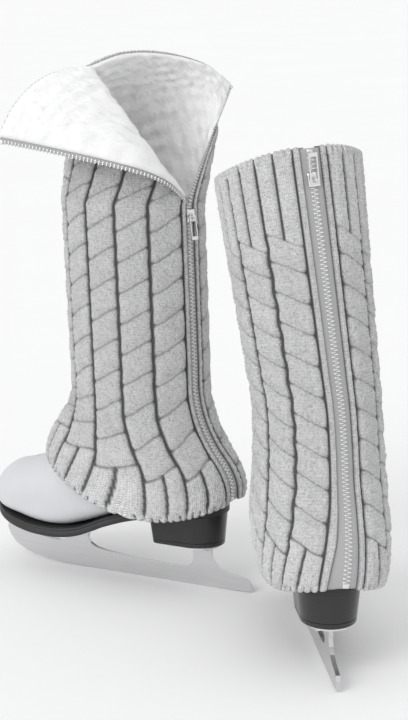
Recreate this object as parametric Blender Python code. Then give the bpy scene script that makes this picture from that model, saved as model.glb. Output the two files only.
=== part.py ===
"""A pair of figure skates, each wearing a zip-up cable-knit boot cover lined with fleece.

Metres, +Z up. Each skate is drawn in its own coordinates: +X towards the toe, +Y towards the
outer side of the foot, Z = 0 on the ice, X = 0 at the back of the heel. The right skate is the
left one mirrored, apart from the way its cover stands. The left cover is unzipped at the top
and its outer flap is folded out over itself; the right cover is zipped shut and slouches.
"""

from math import atan2, cos, pi, radians, sin, sqrt

import bmesh
import bpy
from mathutils import Matrix, Vector

GAP = 0.0003            # clearance kept between pieces that touch

# Where the two skates stand
BLADE_MIDDLE_X = 0.095
LEFT_PLACE = (BLADE_MIDDLE_X, 0.0, 0.0)
LEFT_TURN = radians(180)
RIGHT_PLACE = (0.293, -0.180, 0.0)
RIGHT_TURN = radians(122.3)

# Blade
BLADE_THICKNESS = 0.0042
PLATE_THICKNESS = 0.0025
HEEL_PLATE_TOP = 0.0457

# Sole and heel
SOLE_BACK = -0.004
SOLE_FRONT = 0.264
SOLE_THICKNESS = 0.0095
HEEL_BOTTOM = HEEL_PLATE_TOP + GAP
HEEL_BREAST_X = 0.069
SOLE_TOP = [(-0.004, 0.091), (0.030, 0.087), (0.060, 0.083), (0.093, 0.0765), (0.122, 0.067),
            (0.150, 0.055), (0.172, 0.0505), (0.195, 0.050), (0.215, 0.0515), (0.240, 0.0565),
            (0.264, 0.065)]
SOLE_HALF_WIDTH = [(-0.004, 0.031), (0.030, 0.031), (0.070, 0.030), (0.100, 0.0315),
                   (0.130, 0.036), (0.160, 0.0395), (0.190, 0.0405), (0.220, 0.0390),
                   (0.264, 0.036)]

# Screws
SCREW_HEAD_RADIUS = 0.0035
SCREW_HEAD_HEIGHT = 0.0014
SCREW_SHANK_RADIUS = 0.0018
SCREW_SHANK_LENGTH = 0.0075
TOE_SCREWS = [(0.160, 0.016), (0.160, -0.016), (0.222, 0.016), (0.222, -0.016)]
HEEL_SCREWS = [(0.014, 0.012), (0.014, -0.012), (0.054, 0.013), (0.054, -0.013)]

# Boot
LEATHER = 0.0030
LINING = 0.0035
RING_POINTS = 20
# Stations from toe to collar: sole-side point (x, z), top-side point (x, z), half-width
BOOT_STATIONS = [
    (0.2610, 0.0700, 0.2620, 0.0800, 0.0070),
    (0.2590, 0.0655, 0.2605, 0.0880, 0.0180),
    (0.2520, 0.0615, 0.2550, 0.0985, 0.0265),
    (0.2380, 0.0572, 0.2430, 0.1070, 0.0330),
    (0.2180, 0.0530, 0.2260, 0.1125, 0.0375),
    (0.1950, 0.0512, 0.2070, 0.1190, 0.0390),
    (0.1680, 0.0522, 0.1880, 0.1280, 0.0385),
    (0.1400, 0.0602, 0.1700, 0.1430, 0.0365),
    (0.1080, 0.0730, 0.1560, 0.1620, 0.0345),
    (0.0700, 0.0820, 0.1480, 0.1800, 0.0330),
    (0.0300, 0.0880, 0.1430, 0.1950, 0.0320),
    (0.0020, 0.1020, 0.1400, 0.2060, 0.0320),
    (0.0030, 0.1300, 0.1385, 0.2160, 0.0325),
    (0.0180, 0.1620, 0.1380, 0.2270, 0.0330),
    (0.0330, 0.1950, 0.1390, 0.2380, 0.0345),
    (0.0400, 0.2270, 0.1410, 0.2500, 0.0355),
]
THROAT_FRONT_X = 0.228
THROAT_HALF_WIDTH = 0.0045

# Cover
KNIT = 0.0045
FLEECE = 0.0035
TAPE_THICKNESS = 0.0012
TAPE_WIDTH = 0.0100
TEETH_WIDTH = 0.0030
TEETH_HEIGHT = 0.0016
ZIP_HALF_GAP = 0.0004
GIRTH = 0.385                 # round a cover
COVER_COLUMNS = 24
OPEN_ROWS = 9

# Rings of a cover, hem first, then the first and last ring of its straight shaft. Each ring:
# height at the back, sides and front, x of its back and front, half-width, centre y,
# squareness of the outline, extra height of the outer side, and the angle in degrees from
# straight back to the zip
LEFT_LOW_RINGS = [
    (0.097, 0.082, 0.132, -0.0130, 0.1950, 0.0530, 0.0, 2.8, 0.0, 4.0),
    (0.113, 0.101, 0.148, -0.0140, 0.1910, 0.0545, 0.0, 2.6, 0.0, 5.5),
    (0.131, 0.124, 0.163, -0.0080, 0.1830, 0.0545, 0.0, 2.4, 0.0, 8.0),
    (0.153, 0.149, 0.178, 0.0060, 0.1730, 0.0535, 0.0, 2.2, 0.0, 11.0),
    (0.178, 0.176, 0.192, 0.0170, 0.1670, 0.0525, 0.0, 2.0, 0.0, 14.0),
]
LEFT_SHAFT = (
    (0.204, 0.204, 0.206, 0.0238, 0.1650, 0.0520, 0.0, 2.0, 0.0, 14.0),
    (0.396, 0.396, 0.396, 0.0310, 0.1740, 0.0520, 0.0, 2.0, 0.0, 14.0),
)
RIGHT_LOW_RINGS = [
    (0.090, 0.084, 0.132, -0.0130, 0.1950, 0.0540, 0.0000, 2.8, 0.0000, 4.0),
    (0.106, 0.104, 0.148, -0.0140, 0.1910, 0.0575, 0.0000, 2.6, 0.0000, 5.5),
    (0.126, 0.126, 0.162, -0.0080, 0.1830, 0.0590, 0.0000, 2.4, 0.0000, 8.0),
    (0.150, 0.151, 0.176, 0.0065, 0.1740, 0.0580, 0.0000, 2.2, 0.0000, 11.0),
    (0.177, 0.178, 0.191, 0.0180, 0.1650, 0.0570, -0.0005, 2.0, 0.0000, 13.0),
    (0.206, 0.206, 0.208, 0.0275, 0.1610, 0.0560, -0.0012, 2.0, 0.0010, 14.0),
]
RIGHT_SHAFT = (
    (0.240, 0.239, 0.238, 0.0325, 0.1610, 0.0555, -0.0030, 2.0, 0.0020, 14.0),
    (0.474, 0.451, 0.440, 0.0570, 0.1830, 0.0632, -0.0282, 2.0, 0.0097, 9.0),
)

# Left cover above its last ring: the opened top. Curves from the zip split S, as (x, y, z)
FOLD_AT = 0.36          # share of the girth that folds out with the outer flap
FLAP_EDGE = [(0.0324, 0.0130, 0.396), (0.0400, 0.0480, 0.421), (0.0690, 0.0760, 0.436),
             (0.1260, 0.0930, 0.448), (0.1630, 0.0980, 0.454), (0.2000, 0.1010, 0.459)]
FOLD_CREST = [(0.0324, 0.0130, 0.396), (0.0545, 0.0320, 0.442), (0.0865, 0.0440, 0.490),
              (0.1240, 0.0440, 0.533)]
OPEN_BOW = Vector((0.0, -0.022, 0.0))    # how far the open wall bellies out at its middle
FLAP_RIM_BULGE = Vector((0.006, 0.012, 0.020))
OPEN_RIM = [(0.1240, 0.0440, 0.533), (0.1060, 0.0080, 0.543), (0.0840, -0.0350, 0.541),
            (0.0590, -0.0760, 0.528), (0.0435, -0.1080, 0.505)]

# Zip slider and pull tab
SLIDER_LENGTH = 0.012
SLIDER_WIDTH = 0.0108
SLIDER_PLATE = 0.0012
LEFT_SLIDER_DROP = 0.010      # slider centre below the top ring
RIGHT_SLIDER_DROP = 0.028
TAB_LENGTH = 0.024
TAB_WIDTH = 0.0085
TAB_THICKNESS = 0.0012
TAB_LIFT = radians(7)         # angle between the tab and the zip
TAB_BAR = 0.0011              # the short bar in the slider's crown
TAB_RAIL = 0.0012             # the long sides
TAB_END = 0.0035              # the solid grip end
SLIDER_WALL = 0.0008
CROWN_HALF_WIDTH = 0.0009
CROWN_AXIS = 0.0014           # hinge axis above the slider's plate


def material(name, colour, roughness, metallic=0.0):
    """A Principled material, made once and shared by name."""
    made = bpy.data.materials.get(name)
    if made is None:
        made = bpy.data.materials.new(name)
        made.use_nodes = True
        shader = made.node_tree.nodes["Principled BSDF"]
        shader.inputs["Base Color"].default_value = (*colour, 1.0)
        shader.inputs["Roughness"].default_value = roughness
        shader.inputs["Metallic"].default_value = metallic
        made.diffuse_color = (*colour, 1.0)
    return made


def steel():
    return material("blade_steel", (0.62, 0.62, 0.63), 0.32, 1.0)


def plated_steel():
    return material("plated_steel", (0.70, 0.70, 0.71), 0.28, 1.0)


def white_leather():
    return material("white_leather", (0.70, 0.70, 0.71), 0.45)


def black_leather():
    return material("black_leather", (0.020, 0.020, 0.022), 0.40)


def black_lacquer():
    return material("black_lacquer", (0.012, 0.012, 0.013), 0.18)


def grey_knit():
    return material("grey_knit", (0.60, 0.60, 0.61), 0.90)


def white_fleece():
    return material("white_fleece", (0.86, 0.86, 0.85), 0.95)


def zip_cloth():
    return material("zip_cloth", (0.38, 0.38, 0.39), 0.80)


def zip_metal():
    return material("zip_metal", (0.66, 0.66, 0.67), 0.30, 1.0)


def lace_cord():
    return material("lace_cord", (0.78, 0.78, 0.77), 0.80)


def add_object(name, points, faces, look, parent):
    """A mesh object under the skate's empty, facing out and shaded smooth."""
    mesh = bpy.data.meshes.new(name)
    mesh.from_pydata([tuple(point) for point in points], [], faces)
    build = bmesh.new()
    build.from_mesh(mesh)
    bmesh.ops.recalc_face_normals(build, faces=build.faces)
    build.to_mesh(mesh)
    build.free()
    mesh.materials.append(look)
    mesh.shade_smooth()
    mesh.set_sharp_from_angle(angle=radians(40))
    made = bpy.data.objects.new(name, mesh)
    bpy.context.scene.collection.objects.link(made)
    made.parent = parent
    return made


def smooth_value(table, x):
    """Cubic reading of a short (x, value) table, without overshoot at its ends."""
    if x <= table[0][0]:
        return table[0][1]
    for index in range(len(table) - 1):
        (x0, y0), (x1, y1) = table[index], table[index + 1]
        if x <= x1:
            before = table[max(index - 1, 0)]
            after = table[min(index + 2, len(table) - 1)]
            slope0 = (y1 - before[1]) / (x1 - before[0])
            slope1 = (after[1] - y0) / (after[0] - x0)
            return hermite(y0, y1, slope0 * (x1 - x0), slope1 * (x1 - x0), (x - x0) / (x1 - x0))
    return table[-1][1]


def hermite(y0, y1, m0, m1, t):
    return (
        (1 + 2 * t) * (1 - t) ** 2 * y0
        + t * (1 - t) ** 2 * m0
        + t * t * (3 - 2 * t) * y1
        + t * t * (t - 1) * m1
    )


def along(points, t):
    """Smooth curve through evenly spaced points (tuples of any length), t from 0 to 1."""
    place = min(max(t, 0.0), 1.0) * (len(points) - 1)
    index = min(int(place), len(points) - 2)
    before, start = points[max(index - 1, 0)], points[index]
    end, after = points[index + 1], points[min(index + 2, len(points) - 1)]
    inner_start = 0.5 if index > 0 else 1.0
    inner_end = 0.5 if index < len(points) - 2 else 1.0
    return tuple(
        hermite(b, c, (c - a) * inner_start, (d - b) * inner_end, place - index)
        for a, b, c, d in zip(before, start, end, after)
    )


def shell(outer, inner, wrap=False, pocket=False):
    """Points and faces of a thick sheet between two grids of the same rows and columns.

    wrap closes each row into a ring. pocket closes the first row of each grid on itself.
    """
    rows, columns = len(outer), len(outer[0])
    points = [point for grid in (outer, inner) for row in grid for point in row]
    faces = []
    steps = columns if wrap else columns - 1

    def at(grid, row, column):
        return grid * rows * columns + row * columns + column % columns

    for grid in (0, 1):
        for row in range(rows - 1):
            for column in range(steps):
                near, far = at(grid, row, column), at(grid, row + 1, column + 1)
                faces.append([near, at(grid, row, column + 1), far])
                faces.append([near, far, at(grid, row + 1, column)])
    for column in range(steps):
        faces.append([at(0, rows - 1, column), at(0, rows - 1, column + 1),
                      at(1, rows - 1, column + 1), at(1, rows - 1, column)])
        if not pocket:
            faces.append([at(0, 0, column + 1), at(0, 0, column),
                          at(1, 0, column), at(1, 0, column + 1)])
    if pocket:
        faces.append([at(0, 0, column) for column in range(columns)])
        faces.append([at(1, 0, column) for column in reversed(range(columns))])
    if not wrap:
        for row in range(rows - 1):
            for column in (0, columns - 1):
                faces.append([at(0, row, column), at(0, row + 1, column),
                              at(1, row + 1, column), at(1, row, column)])
    return points, faces


def loft(rings):
    """A solid through rings of points, its first and last ring capped."""
    count = len(rings[0])
    points = [point for ring in rings for point in ring]
    faces = [list(range(count)), list(range((len(rings) - 1) * count, len(rings) * count))]
    for level in range(len(rings) - 1):
        for index in range(count):
            onward = (index + 1) % count
            faces.append([level * count + index, level * count + onward,
                          (level + 1) * count + onward, (level + 1) * count + index])
    return points, faces


def cut(target, cutter):
    """Takes the cutter, kept as a hidden helper, out of the target."""
    cutter.hide_render = True
    cutter.display_type = "WIRE"
    hole = target.modifiers.new("cut", "BOOLEAN")
    hole.operation = "DIFFERENCE"
    hole.object = cutter


# ---------------------------------------------------------------- sole, heel and blade


def sole_top(x):
    return smooth_value(SOLE_TOP, x)


def sole_bottom(x):
    return sole_top(x) - SOLE_THICKNESS


def sole_half_width(x):
    """Half-width of the outsole, its heel and toe rounded off."""
    middle = (SOLE_BACK + SOLE_FRONT) / 2
    share = (x - middle) / (SOLE_FRONT - middle)
    roundness = 6 if share > 0 else 8
    return smooth_value(SOLE_HALF_WIDTH, x) * sqrt(max(0.0, 1 - abs(share) ** roundness))


def strip_rings(x_start, x_end, count, half_width, low, high, ends_rounded=0.0):
    """Rectangular rings along +X, closer together at both ends."""
    rings = []
    for index in range(count):
        share = (1 - cos(pi * index / (count - 1))) / 2
        x = x_start + (x_end - x_start) * share
        width = half_width(x)
        if ends_rounded:
            end = min(x - x_start, x_end - x) / ends_rounded
            width *= sqrt(max(0.02, 1 - (1 - min(end, 1.0)) ** 2))
        rings.append([(x, -width, low(x)), (x, width, low(x)),
                      (x, width, high(x)), (x, -width, high(x))])
    return rings


def add_outsole(skate, tag):
    inset = 0.0012
    rings = strip_rings(SOLE_BACK + inset, SOLE_FRONT - inset, 22, sole_half_width,
                        sole_bottom, sole_top)
    outsole = add_object(tag + "_outsole", *loft(rings), black_leather(), skate)
    cut(outsole, screw_cutter(skate, tag + "_outsole_holes", TOE_SCREWS))


def heel_outline(breast_x, back_x, half_width, top):
    """D-shaped ring: straight breast, round back. top gives the height at each x."""
    corner_x = breast_x - 0.006
    points = [(breast_x, -half_width * 0.86), (corner_x, -half_width)]
    radius = 0.030
    for index in range(9):
        angle = pi * index / 8
        points.append((back_x + radius * (1 - sin(angle)), -half_width * cos(angle)))
    points += [(corner_x, half_width), (breast_x, half_width * 0.86)]
    return [(x, y, top(x)) for x, y in points]


def add_heel(skate, tag):
    rings = []
    for share in (0.0, 0.06, 0.5, 1.0):
        flare = 0.0025 * share - (0.0012 if share == 0.0 else 0.0)
        rings.append(heel_outline(
            HEEL_BREAST_X + 2 * flare, 0.0005 - flare, 0.0262 + flare,
            lambda x, share=share: HEEL_BOTTOM + (sole_bottom(x) - GAP - HEEL_BOTTOM) * share,
        ))
    heel = add_object(tag + "_heel_block", *loft(rings), black_lacquer(), skate)
    cut(heel, screw_cutter(skate, tag + "_heel_holes", HEEL_SCREWS))


def toe_plate_bottom(x):
    return sole_bottom(x) - GAP - PLATE_THICKNESS


def heel_plate_bottom(_x):
    return HEEL_PLATE_TOP - PLATE_THICKNESS


def add_plates(skate, tag):
    toe_rings = strip_rings(0.140, 0.248, 14, lambda x: 0.0235, toe_plate_bottom,
                            lambda x: sole_bottom(x) - GAP, ends_rounded=0.022)
    toe = add_object(tag + "_toe_plate", *loft(toe_rings), plated_steel(), skate)
    cut(toe, screw_cutter(skate, tag + "_toe_plate_holes", TOE_SCREWS))
    heel_rings = strip_rings(0.005, 0.064, 12, lambda x: 0.0200, heel_plate_bottom,
                             lambda x: HEEL_PLATE_TOP, ends_rounded=0.020)
    heel = add_object(tag + "_heel_plate", *loft(heel_rings), plated_steel(), skate)
    cut(heel, screw_cutter(skate, tag + "_heel_plate_holes", HEEL_SCREWS))


def blade_outline():
    """Side view of the blade, anticlockwise from the tail tip."""
    under_heel = HEEL_PLATE_TOP - PLATE_THICKNESS - GAP

    def under_toe(x):
        return x, toe_plate_bottom(x) - GAP

    return [
        (-0.0333, 0.0016), (-0.0150, 0.0003), (0.0050, 0.0), (0.0450, 0.0), (0.1000, 0.0),
        (0.1450, 0.0), (0.1750, 0.0002), (0.1970, 0.0014), (0.2180, 0.0040), (0.2350, 0.0084),
        (0.2470, 0.0145), (0.2540, 0.0230), (0.2575, 0.0310), (0.2570, 0.0380),
        (0.2530, 0.0415), (0.2475, 0.0430), under_toe(0.2440), under_toe(0.2360),
        (0.2330, 0.0370), (0.2270, 0.0305), (0.2170, 0.0268), (0.2060, 0.0252),
        (0.1930, 0.0248), (0.1860, 0.0275), (0.1850, 0.0320), under_toe(0.1860),
        under_toe(0.1800), under_toe(0.1740), under_toe(0.1680), under_toe(0.1620),
        under_toe(0.1560), (0.1590, 0.0330), (0.1560, 0.0273), (0.1490, 0.0232),
        (0.1390, 0.0212), (0.1160, 0.0192), (0.0850, 0.0178), (0.0600, 0.0172),
        (0.0430, 0.0180), (0.0375, 0.0202), (0.0345, 0.0245), (0.0335, 0.0340),
        (0.0345, under_heel), (0.0130, under_heel), (0.0130, 0.0330), (0.0100, 0.0262),
        (0.0045, 0.0208), (-0.0050, 0.0172), (-0.0200, 0.0150), (-0.0275, 0.0134),
        (-0.0318, 0.0090),
    ]


def add_blade(skate, tag):
    half = BLADE_THICKNESS / 2
    outline = blade_outline()
    sides = [[(x, y, z) for x, z in outline] for y in (-half, half)]
    add_object(tag + "_blade", *loft(sides), steel(), skate)


def screw_places(places):
    """Centre of each screw's head against its plate, and the tilt of the plate there."""
    under = toe_plate_bottom if places is TOE_SCREWS else heel_plate_bottom
    for x, y in places:
        slope = (under(x + 0.003) - under(x - 0.003)) / 0.006
        yield x, y, under(x), atan2(slope, 1.0)


def turned(profile, sides=12):
    """A solid turned about Z from (radius, height) pairs, first and last capped."""
    return loft([
        [(radius * cos(2 * pi * k / sides), radius * sin(2 * pi * k / sides), height)
         for k in range(sides)]
        for radius, height in profile
    ])


def screw_cutter(skate, name, places):
    """All screw holes of one plate as one helper: a blind hole with clearance all round."""
    points, faces = [], []
    radius = SCREW_SHANK_RADIUS + GAP
    hole = turned([(radius, -0.004), (radius, SCREW_SHANK_LENGTH + 2 * GAP)])
    for x, y, z, tilt in screw_places(places):
        start = len(points)
        place = Matrix.Translation((x, y, z)) @ Matrix.Rotation(-tilt, 4, "Y")
        points += [place @ Vector(point) for point in hole[0]]
        faces += [[start + index for index in face] for face in hole[1]]
    return add_object(name, points, faces, steel(), skate)


def add_screws(skate, tag):
    head = [(0.0020, -GAP - SCREW_HEAD_HEIGHT), (SCREW_HEAD_RADIUS, -GAP - 0.0009),
            (SCREW_HEAD_RADIUS, -GAP), (SCREW_SHANK_RADIUS, -GAP + 0.00001),
            (SCREW_SHANK_RADIUS, SCREW_SHANK_LENGTH - 0.002), (0.0007, SCREW_SHANK_LENGTH)]
    for group, places in (("heel", HEEL_SCREWS), ("toe", TOE_SCREWS)):
        for number, (x, y, z, tilt) in enumerate(screw_places(places), 1):
            screw = add_object(f"{tag}_{group}_screw_{number}", *turned(head), plated_steel(), skate)
            screw.location = (x, y, z)
            screw.rotation_euler = (0.0, -tilt, 0.0)


# ---------------------------------------------------------------- boot


def boot_ring(station, inset, arc=(0.0, 1.0), count=RING_POINTS, closed=True):
    """Section of the boot at a station, drawn in from its surface by inset."""
    bx, bz, tx, tz, half_width = station
    low, high = Vector((bx, 0.0, bz + GAP)), Vector((tx, 0.0, tz))
    rise = high - low
    centre = low + rise * 0.42
    up = rise.normalized()
    below = (centre - low).length - inset
    above = (high - centre).length - inset
    low_power = 0.45 + 0.5 * min(max((up.x - 0.55) / 0.25, 0.0), 1.0)
    ring = []
    steps = count if closed else count - 1
    for index in range(count):
        turn = 2 * pi * (arc[0] + (arc[1] - arc[0]) * index / steps) - pi / 2
        lift, across = sin(turn), cos(turn)
        power = low_power if lift < 0 else 0.95
        reach = below if lift < 0 else above
        offset = up * (reach * abs(lift) ** power * (1 if lift > 0 else -1))
        side = max(half_width - inset, 0.0008) * abs(across) ** power * (1 if across > 0 else -1)
        ring.append(centre + offset + Vector((0.0, side, 0.0)))
    return ring


def boot_stations(inset_front=0.0):
    """The stations, the closed toe end moved back by inset_front for an inner surface."""
    moved = []
    for index, (bx, bz, tx, tz, width) in enumerate(BOOT_STATIONS):
        back = inset_front * max(0.0, 1 - index / 3)
        moved.append((bx - back, bz, tx - back, tz, width))
    return moved


def add_boot(skate, tag):
    outer = [boot_ring(station, 0.0) for station in BOOT_STATIONS]
    inner = [boot_ring(station, LEATHER) for station in boot_stations(LEATHER)]
    upper = add_object(tag + "_boot_upper", *shell(outer, inner, True, True),
                       white_leather(), skate)
    slot = []
    for index in range(5, len(BOOT_STATIONS)):
        tx, tz = BOOT_STATIONS[index][2:4]
        slot.append((tx, tz, THROAT_HALF_WIDTH + 0.0006 * (index - 5)))
    slot.insert(0, (THROAT_FRONT_X, 0.1119, 0.0020))
    last = slot[-1]
    slot.append((last[0], last[1] + 0.012, last[2]))
    rings = [[(x + 0.004, -w, z + 0.008), (x + 0.004, w, z + 0.008),
              (x - 0.007, w, z - 0.0065), (x - 0.007, -w, z - 0.0065)] for x, z, w in slot]
    cut(upper, add_object(tag + "_throat_cutter", *loft(rings), white_leather(), skate))
    add_boot_inside(skate, tag)


def add_boot_inside(skate, tag):
    """Lining round the ankle, tongue in the throat and insole on the sole."""
    near, far = LEATHER + GAP, LEATHER + GAP + LINING
    ankle = BOOT_STATIONS[12:]
    lining_arc = (-0.35, 0.35)
    outer = [boot_ring(s, near, lining_arc, 15, False) for s in ankle]
    inner = [boot_ring(s, far, lining_arc, 15, False) for s in ankle]
    add_object(tag + "_boot_lining", *shell(outer, inner), white_fleece(), skate)
    tongue_arc = (0.40, 0.60)
    throat = BOOT_STATIONS[5:]
    bx, bz, tx, tz, width = throat[-1]
    throat = throat + [(bx + 0.004, bz + 0.014, tx + 0.004, tz + 0.014, width)]
    outer = [boot_ring(s, near, tongue_arc, 5, False) for s in throat]
    inner = [boot_ring(s, far - 0.001, tongue_arc, 5, False) for s in throat]
    add_object(tag + "_tongue", *shell(outer, inner), black_leather(), skate)
    rings = strip_rings(0.050, 0.246, 16, lambda x: 0.60 * sole_half_width(x),
                        lambda x: sole_top(x) + LEATHER + 0.0048,
                        lambda x: sole_top(x) + LEATHER + 0.0078, ends_rounded=0.020)
    add_object(tag + "_insole", *loft(rings), white_fleece(), skate)


def add_lace(skate, tag):
    """One flat zigzag of cord across the throat, rung by rung up to the collar."""
    radius = 0.0011
    reach = 0.0125
    route = []
    for rung in range(9):
        tx, tz = along([station[2:4] for station in BOOT_STATIONS[7:]], (rung + 0.3) / 9)
        side = 1 if rung % 2 else -1
        for step in range(7):
            y = side * reach * (1 - step / 3)
            drop = 0.0042 * (y / reach) ** 2
            route.append(Vector((tx + 0.0012, y, tz + radius + 0.0012 - drop)))
    curve = bpy.data.curves.new(tag + "_lace", "CURVE")
    curve.dimensions = "3D"
    curve.bevel_depth = radius
    curve.bevel_resolution = 1
    curve.use_fill_caps = True
    spline = curve.splines.new("POLY")
    spline.points.add(len(route) - 1)
    for point, place in zip(spline.points, route):
        point.co = (*place, 1.0)
    curve.materials.append(lace_cord())
    lace = bpy.data.objects.new(tag + "_lace", curve)
    bpy.context.scene.collection.objects.link(lace)
    lace.parent = skate


# ---------------------------------------------------------------- zip-up cover


def cover_rings(low_rings, shaft, steps):
    """All rings of a cover; along the shaft they change evenly, so the zip runs straight."""
    first, last = shaft
    return low_rings + [
        tuple(a + (b - a) * step / steps for a, b in zip(first, last))
        for step in range(steps + 1)
    ]


LEFT_RINGS = cover_rings(LEFT_LOW_RINGS, LEFT_SHAFT, 6)
RIGHT_RINGS = cover_rings(RIGHT_LOW_RINGS, RIGHT_SHAFT, 7)


def ring_point(rings, u, v):
    """Point of the zipped cover: u once round from the zip by the outer side, v hem to top."""
    (back_z, side_z, front_z, back_x, front_x,
     half_width, centre_y, square, outer_rise, zip_turn) = along(rings, v)
    turn = radians(zip_turn) + 2 * pi * u
    power = 2 / square
    forward, outward = -cos(turn), sin(turn)
    x_share = abs(forward) ** power * (1 if forward > 0 else -1)
    y_share = abs(outward) ** power * (1 if outward > 0 else -1)
    x = (back_x + front_x) / 2 + (front_x - back_x) / 2 * x_share
    z = side_z + (front_z - back_z) / 2 * x_share
    z += ((front_z + back_z) / 2 - side_z) * x_share ** 2 + outer_rise * y_share
    return Vector((x, centre_y + half_width * y_share, z))


def open_point_sharp(u, s):
    """Point of the opened top of the left cover, s from the zip split's level to the rim."""
    base = ring_point(LEFT_RINGS, u, 1.0)
    if u > FOLD_AT:
        share = (u - FOLD_AT) / (1 - FOLD_AT)
        rim = Vector(along(OPEN_RIM, share))
        bow = OPEN_BOW * (4 * share * (1 - share))
        climb = Vector((0.0, 0.0, (rim - base).length * (0.38 - 0.28 * share))) + bow
        lean = (rim - base) * 0.22 - bow
        return (base * (1 - s) ** 3 + (base + climb) * 3 * s * (1 - s) ** 2
                + (rim - lean) * 3 * s * s * (1 - s) + rim * s ** 3)
    fold = u / FOLD_AT
    if s <= fold:
        crest = Vector(along(FOLD_CREST, fold))
        share = s / fold if fold else 0.0
        return base.lerp(crest, share)
    crest = Vector(along(FOLD_CREST, s))
    edge = Vector(along(FLAP_EDGE, s))
    share = 1 - fold / s
    bulge = FLAP_RIM_BULGE * (4 * share * (1 - share) * s)
    return crest.lerp(edge, share) + bulge


def open_point(u, s):
    """The opened top with its fold rounded."""
    reach = 0.07 * min(1.0, s / 0.25)
    total = Vector()
    for step in (-2, -1, 0, 1, 2):
        total += open_point_sharp(u, min(max(s + reach * step / 2, 0.0), 1.0))
    return total / 5


def cover_point(rings, u, v):
    """The whole cover: v from 0 to 1 is zipped, from 1 to 2 the left one's opened top."""
    return ring_point(rings, u, v) if v <= 1.0 else open_point(u, v - 1.0)


def cover_normal(rings, u, v, top):
    step_u, step_v = 0.004, 0.02
    before, after = max(u - step_u, 0.0), min(u + step_u, 1.0)
    across = cover_point(rings, after, v) - cover_point(rings, before, v)
    low, high = max(v - step_v, 0.0), min(v + step_v, top)
    upward = cover_point(rings, u, high) - cover_point(rings, u, low)
    return upward.cross(across).normalized()


def cover_sheet(rings, columns, offsets, rows, top):
    """One grid of the cover: offsets gives the distance out of the mid-surface per column."""
    return [
        [cover_point(rings, u, v) + cover_normal(rings, u, v, top) * offset
         for u, offset in zip(columns, offsets)]
        for v in rows
    ]


def cover_layer(name, look, rings, columns, outside, inside, rows, top, skate):
    outer = cover_sheet(rings, columns, outside, rows, top)
    inner = cover_sheet(rings, columns, inside, rows, top)
    return add_object(name, *shell(outer, inner), look, skate)


def add_cover(skate, tag, rings, rows, top):
    tape_end = TAPE_WIDTH / GIRTH
    seam = GAP / GIRTH
    seam_end = tape_end + 2 * seam
    columns = [seam_end + (1 - 2 * seam_end) * index / COVER_COLUMNS
               for index in range(COVER_COLUMNS + 1)]
    count = len(columns)
    cover_layer(tag + "_cover_knit", grey_knit(), rings, columns, [KNIT] * count,
                [2 * GAP] * count, rows, top, skate)
    cover_layer(tag + "_cover_lining", white_fleece(), rings, columns, [-2 * GAP] * count,
                [-FLEECE] * count, rows, top, skate)
    tooth_edge = ZIP_HALF_GAP / GIRTH
    tooth_end = tooth_edge + TEETH_WIDTH / GIRTH
    strip = [tooth_edge, tooth_end, tooth_end + seam, tape_end - 6 * seam]
    cloth = TAPE_THICKNESS / 2
    heights = [TEETH_HEIGHT, TEETH_HEIGHT, cloth, cloth]
    for side, edge in (("outer", strip), ("inner", [1 - u for u in strip])):
        cover_layer(f"{tag}_zip_tape_{side}", zip_cloth(), rings, edge, heights,
                    [-height for height in heights], rows, top, skate)


def zip_frame(rings, v):
    """Matrix at the zip's centre line: x across it, y up the zip, z outward."""
    place = ring_point(rings, 0.0, v)
    up = (ring_point(rings, 0.0, v + 0.01) - ring_point(rings, 0.0, v - 0.01)).normalized()
    across = ring_point(rings, 0.002, v) - ring_point(rings, -0.002, v)
    outward = up.cross(across).normalized()
    frame = Matrix((up.cross(outward), up, outward)).transposed().to_4x4()
    frame.translation = place
    return frame


def add_slider(skate, tag, rings, drop, tab_up):
    """Slider riding on the teeth, and its pull tab hinged in the slider's crown."""
    span = (ring_point(rings, 0.0, 1.0) - ring_point(rings, 0.0, 0.9)).length / 0.1
    frame = zip_frame(rings, 1.0 - drop / span)
    half, long = SLIDER_WIDTH / 2, SLIDER_LENGTH / 2
    low = TAPE_THICKNESS / 2 + 2 * GAP
    under = TEETH_HEIGHT + 2 * GAP
    high = under + SLIDER_PLATE
    rings_out = []
    for y, drop_edge in ((-long, 0.0005), (-long + 0.0015, 0.0),
                         (long - 0.0015, 0.0), (long, 0.0005)):
        crown = high - drop_edge
        rings_out.append([
            (-half, y, low), (-half, y, crown - 0.0004), (-half + 0.0006, y, crown),
            (half - 0.0006, y, crown), (half, y, crown - 0.0004), (half, y, low),
            (half - SLIDER_WALL, y, low), (half - SLIDER_WALL, y, under),
            (-half + SLIDER_WALL, y, under), (-half + SLIDER_WALL, y, low),
        ])
    slider = add_object(tag + "_zip_slider", *loft(rings_out), zip_metal(), skate)
    slider.matrix_local = frame
    arch = []
    for x in (-CROWN_HALF_WIDTH, CROWN_HALF_WIDTH):
        arch.append([(x, y, high + z) for y, z in (
            (-0.0028, -0.0005), (-0.0028, 0.0024), (-0.0016, 0.0038), (0.0016, 0.0038),
            (0.0028, 0.0024), (0.0028, -0.0005), (0.0016, -0.0005), (0.0016, 0.0020),
            (0.0010, 0.0027), (-0.0010, 0.0027), (-0.0016, 0.0020), (-0.0016, -0.0005))])
    crown = add_object(tag + "_crown_helper", *loft(arch), zip_metal(), skate)
    crown.matrix_local = frame
    crown.hide_render = True
    crown.display_type = "WIRE"
    joined = slider.modifiers.new("crown", "BOOLEAN")
    joined.operation = "UNION"
    joined.object = crown
    add_tab(skate, tag, frame, high + CROWN_AXIS, tab_up)


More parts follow.
